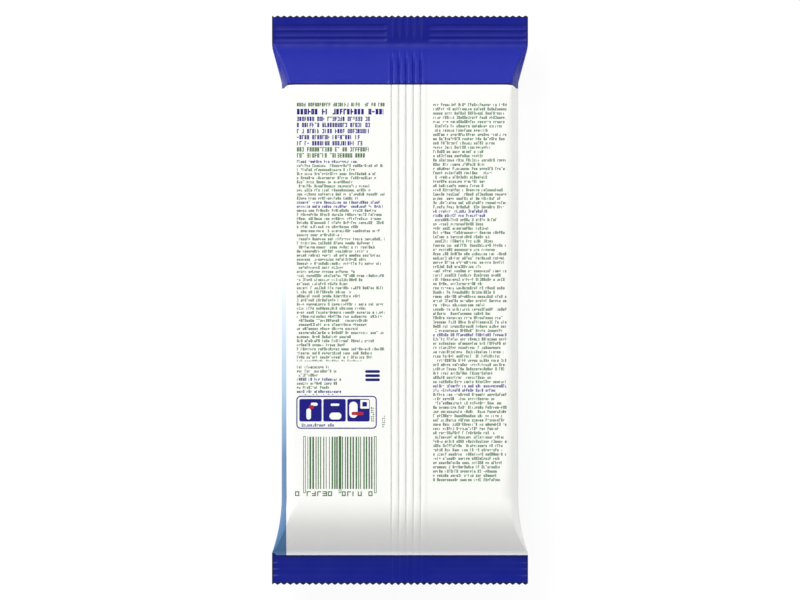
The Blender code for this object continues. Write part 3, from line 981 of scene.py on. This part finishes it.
def label_mesh(sizes):
    """The label as rings of its outline, drawn in to a small one on both faces, with rounded edges.

    Every ring is the outline scaled towards the middle, and its height follows a quarter circle
    near the rim. The rim map gives how far in a ring lies, in millimetres.
    """
    width, length, thickness = (LABEL_HIGH[i] - LABEL_LOW[i] for i in range(3))
    edge = min(sizes.edge_radius, thickness / 2)
    outline = label_outline(width, length, sizes.corner_radius, sizes.pull_reach)
    turn = np.linspace(0, np.pi / 2, 5)
    inset = np.concatenate((LABEL_RINGS, (edge - edge * np.sin(turn)) / (width / 2)))
    drop = np.concatenate((np.zeros(len(LABEL_RINGS)), edge - edge * np.cos(turn)))
    shrink = np.concatenate((inset, inset[::-1]))
    height = np.concatenate((LABEL_HIGH[2] - drop, (LABEL_LOW[2] + drop)[::-1]))
    rings = outline[None] * (1 - shrink)[:, None, None]
    count = outline.shape[0]
    heights = height[:, None, None] + 0 * rings[..., :1]
    points = np.concatenate((rings, heights), axis=2).reshape(-1, 3)
    i, j = np.meshgrid(np.arange(shrink.size - 1), np.arange(count), indexing="ij")
    k = (j + 1) % count
    walls = np.stack((i * count + k, i * count + j, (i + 1) * count + j, (i + 1) * count + k), axis=-1)
    faces = walls.reshape(-1, 4).tolist()
    faces.append(list(range(count)))
    faces.append(list(range(points.shape[0] - 1, points.shape[0] - 1 - count, -1)))
    mesh = bpy.data.meshes.new("reseal_label_sheet")
    mesh.from_pydata(points.tolist(), [], faces)
    corners = np.concatenate([np.array(face) for face in faces])
    rim = np.stack((corners % count, (shrink * width / 2 / MM)[corners // count]), axis=1)
    mesh.uv_layers.new(name="rim").uv.foreach_set("vector", rim.ravel())
    mesh.shade_smooth()
    mesh.set_sharp_from_angle(angle=math.radians(50))
    return mesh


def place(name, mesh, material):
    """Puts a finished mesh in the scene with one material."""
    mesh.materials.append(material)
    piece = bpy.data.objects.new(name, mesh)
    bpy.context.scene.collection.objects.link(piece)
    return piece


class WIPES_OT_film(bpy.types.Operator):
    """Builds the printed film wrapper over the sealed pack's solid."""

    bl_idname = "wipes.film"
    bl_label = "Film Wrapper"

    def execute(self, context):
        scene = context.scene
        sizes = scene.film_sizes
        material = laminated_film(sizes, scene.film_colours)
        piece = place("film_wrapper", film_mesh(sizes), material)
        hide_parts("wipes_pack")
        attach(piece, "root")
        return {"FINISHED"}


class WIPES_OT_label(bpy.types.Operator):
    """Builds the reseal label on the front of the pack."""

    bl_idname = "wipes.label"
    bl_label = "Reseal Label"

    def execute(self, context):
        scene = context.scene
        sizes = scene.label_sizes
        material = label_film(sizes, scene.film_colours)
        piece = place("reseal_label_sheet", label_mesh(sizes), material)
        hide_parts("reseal_label")
        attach(piece, "root")
        return {"FINISHED"}


def table_material():
    """Matt white table. The camera sees it mostly as plain white, with a faint shadow of the pack."""
    material = bpy.data.materials.new("matt_white_table")
    material.use_nodes = True
    tree = material.node_tree
    add = partial(add_node, tree)
    shader = tree.nodes["Principled BSDF"]
    seen = add("ShaderNodeLightPath").outputs["Is Camera Ray"]
    sockets = {MIX_SHARE: seen, MIX_FIRST: linear("E6E6E6"), MIX_SECOND: linear("5A5A5A")}
    base = add("ShaderNodeMix", data_type="RGBA", named=sockets)
    tree.links.new(base.outputs[MIX_RESULT], shader.inputs["Base Color"])
    shader.inputs["Roughness"].default_value = 0.9
    shader.inputs["Specular IOR Level"].default_value = 0.0
    shader.inputs["Emission Color"].default_value = linear("FFFFFF")
    glow = add("MULTIPLY", seen, TABLE_GLOW)
    tree.links.new(glow.outputs[0], shader.inputs["Emission Strength"])
    return material


def even_light(strength, zenith):
    """Even light from all round, dimmer overhead, where a studio has the camera and no panels."""
    world = bpy.data.worlds.new("even_light")
    world.use_nodes = True
    tree = world.node_tree
    add = partial(add_node, tree)
    direction = add("ShaderNodeTexCoord").outputs["Generated"]
    upward = add("ShaderNodeSeparateXYZ", direction).outputs[2]
    fall = add("ShaderNodeMapRange", upward, *ZENITH_ZONE, strength, strength * zenith)
    background = tree.nodes["Background"]
    background.inputs["Color"].default_value = linear("FFFFFF")
    tree.links.new(fall.outputs[0], background.inputs["Strength"])
    return world


def disc_lamp(name, place_at, width, power):
    """A round lamp that faces the middle of the pack."""
    lamp = bpy.data.lights.new(name, "AREA")
    lamp.shape = "DISK"
    lamp.size = width
    lamp.energy = power
    holder = bpy.data.objects.new(name, lamp)
    holder.location = place_at
    holder.rotation_euler = holder.location.to_track_quat("Z", "Y").to_euler()
    bpy.context.scene.collection.objects.link(holder)


class WIPES_OT_stage(bpy.types.Operator):
    """Sets up the table, the three lamps, the even light and the camera."""

    bl_idname = "wipes.stage"
    bl_label = "Studio"

    def execute(self, context):
        scene = context.scene
        settings = scene.stage_settings
        floor = bpy.data.meshes.new("table")
        signs = ((-1, -1), (1, -1), (1, 1), (-1, 1))
        corners = [(x * TABLE_HALF, y * TABLE_HALF, -TABLE_DROP) for x, y in signs]
        floor.from_pydata(corners, [], [(0, 1, 2, 3)])
        place("table", floor, table_material())

        disc_lamp("key_lamp", (-2.6, 3.7, 4.3), 3.2, settings.key_strength)
        disc_lamp("low_lamp", (-1.9, 3.3, 0.3), 0.7, settings.low_strength)
        disc_lamp("side_lamp", (3.6, 1.0, 0.8), 0.9, settings.side_strength)
        scene.world = even_light(settings.sky_strength, settings.zenith_share)

        camera = bpy.data.cameras.new("camera")
        distance = settings.camera_height - MIDDLE_Z
        camera.sensor_width = 36.0
        camera.lens = camera.sensor_width * distance / (settings.view_height * PICTURE_SHAPE)
        camera.clip_end = 20.0
        eye = bpy.data.objects.new("camera", camera)
        eye.location = (0.0, 0.0, settings.camera_height)
        scene.collection.objects.link(eye)
        scene.camera = eye
        scene.view_settings.view_transform = "Standard"
        return {"FINISHED"}


class WIPES_PT_panel(bpy.types.Panel):
    """Lists the pack's pieces, sizes and colours."""

    bl_label = "Wipes Pack"
    bl_idname = "WIPES_PT_panel"
    bl_space_type = "VIEW_3D"
    bl_region_type = "UI"
    bl_category = "Wipes Pack"

    def draw(self, context):
        for operator in OPERATORS:
            self.layout.operator(operator.bl_idname)
        for name in GROUPS:
            settings = getattr(context.scene, name)
            box = self.layout.box()
            for key in type(settings).__annotations__:
                box.prop(settings, key)


OPERATORS = (WIPES_OT_film, WIPES_OT_label, WIPES_OT_stage)
GROUPS = {
    "film_sizes": FilmSizes,
    "label_sizes": LabelSizes,
    "film_colours": FilmColours,
    "stage_settings": StageSettings,
}


def register():
    """Registers the classes, and gives a scene its groups of settings."""
    for cls in (*GROUPS.values(), *OPERATORS, WIPES_PT_panel):
        bpy.utils.register_class(cls)
    for name, cls in GROUPS.items():
        setattr(bpy.types.Scene, name, bpy.props.PointerProperty(type=cls))


def unregister():
    """Undoes register."""
    for name in GROUPS:
        delattr(bpy.types.Scene, name)
    for cls in reversed((*GROUPS.values(), *OPERATORS, WIPES_PT_panel)):
        bpy.utils.unregister_class(cls)


def main():
    """Builds every piece."""
    register()
    bpy.ops.wipes.film()
    bpy.ops.wipes.label()
    bpy.ops.wipes.stage()


if __name__ == "__main__":
    main()
